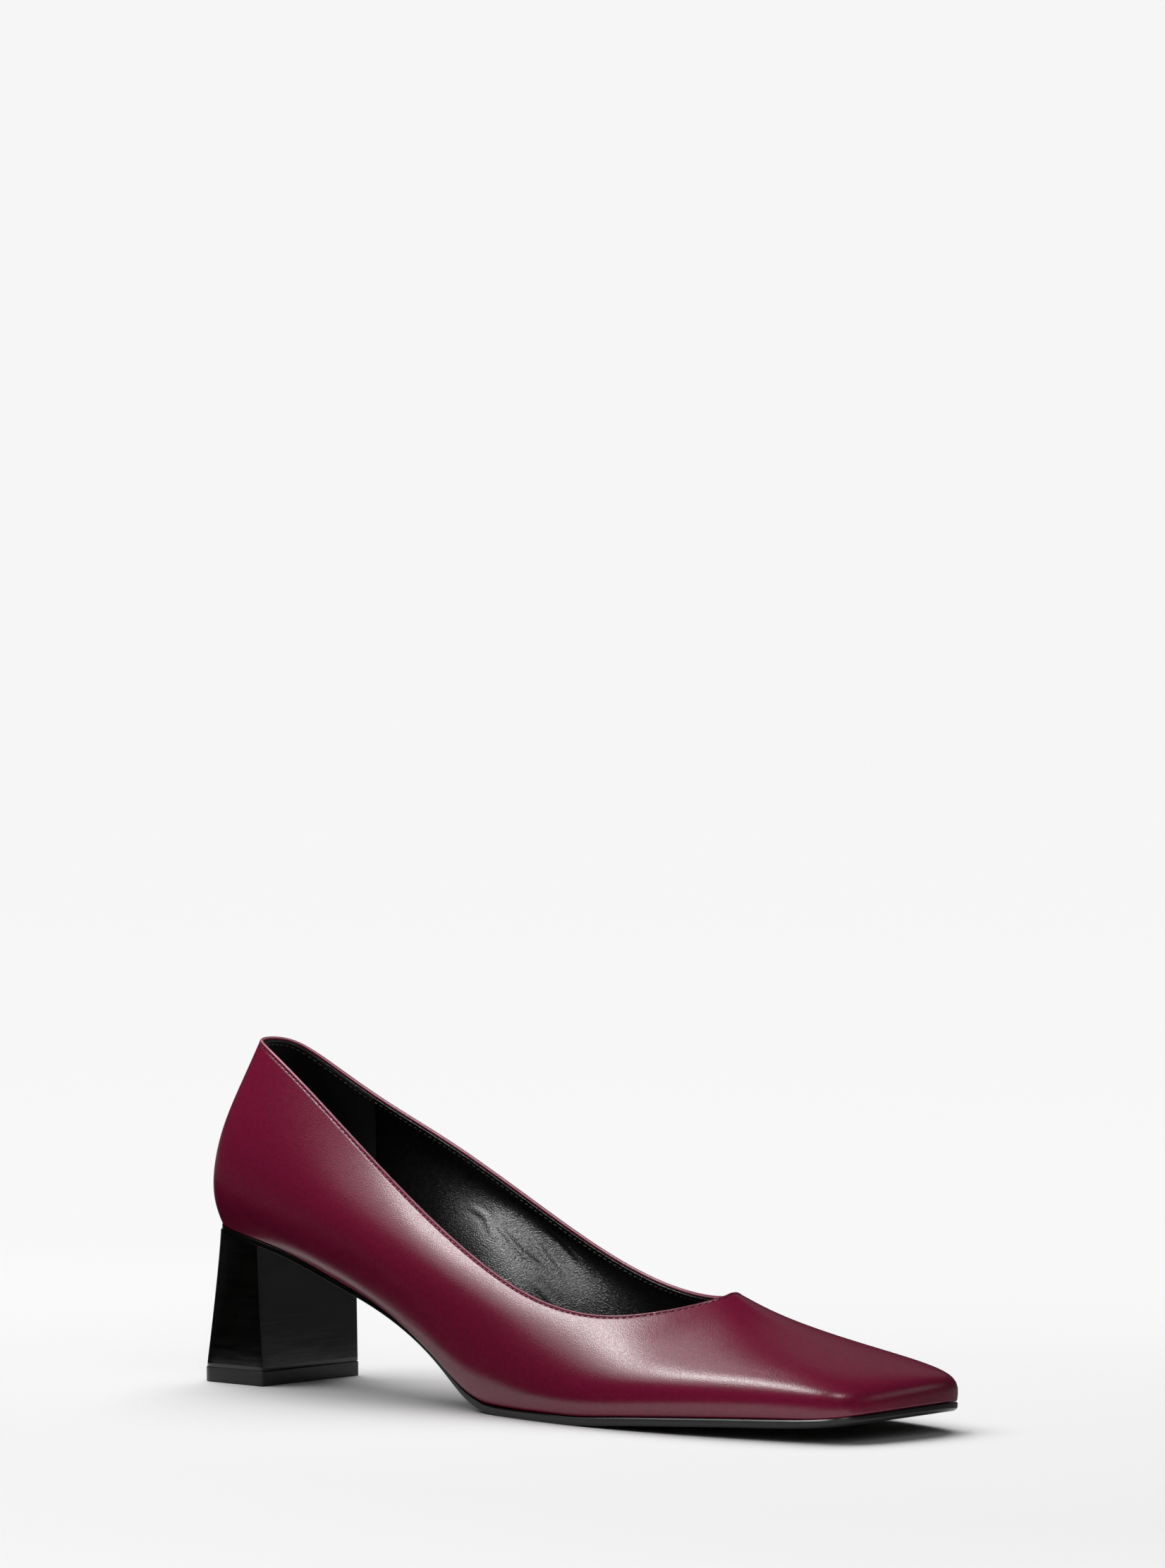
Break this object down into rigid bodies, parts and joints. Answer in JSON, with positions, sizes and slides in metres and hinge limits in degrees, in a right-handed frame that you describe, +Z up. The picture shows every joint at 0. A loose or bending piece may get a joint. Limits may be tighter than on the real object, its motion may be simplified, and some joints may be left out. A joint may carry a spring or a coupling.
{
  "type": "block heel court shoe",
  "caption": "Women's square-toe court shoe for the right foot: burgundy leather upper with a low-cut topline on a thin black sole with a black block heel.",
  "frame": {"origin": "on the floor under the middle of the shoe's box", "axes": "+X to the toe, +Y to the inner side of the right foot, +Z up"},
  "size_m": [0.2618, 0.0782, 0.1058],
  "materials": {
    "upper_leather": "smooth dyed leather, satin",
    "lining_leather": "black lining leather, matt",
    "sole": "black, satin edge",
    "heel": "black heel cover, satin",
    "lift": "black, matt"
  },
  "bodies": {
    "root": {"upper": "upper_leather", "insole": "lining_leather", "outsole": "sole", "heel_block": "heel", "top_lift": "lift"}
  },
  "joints": []
}
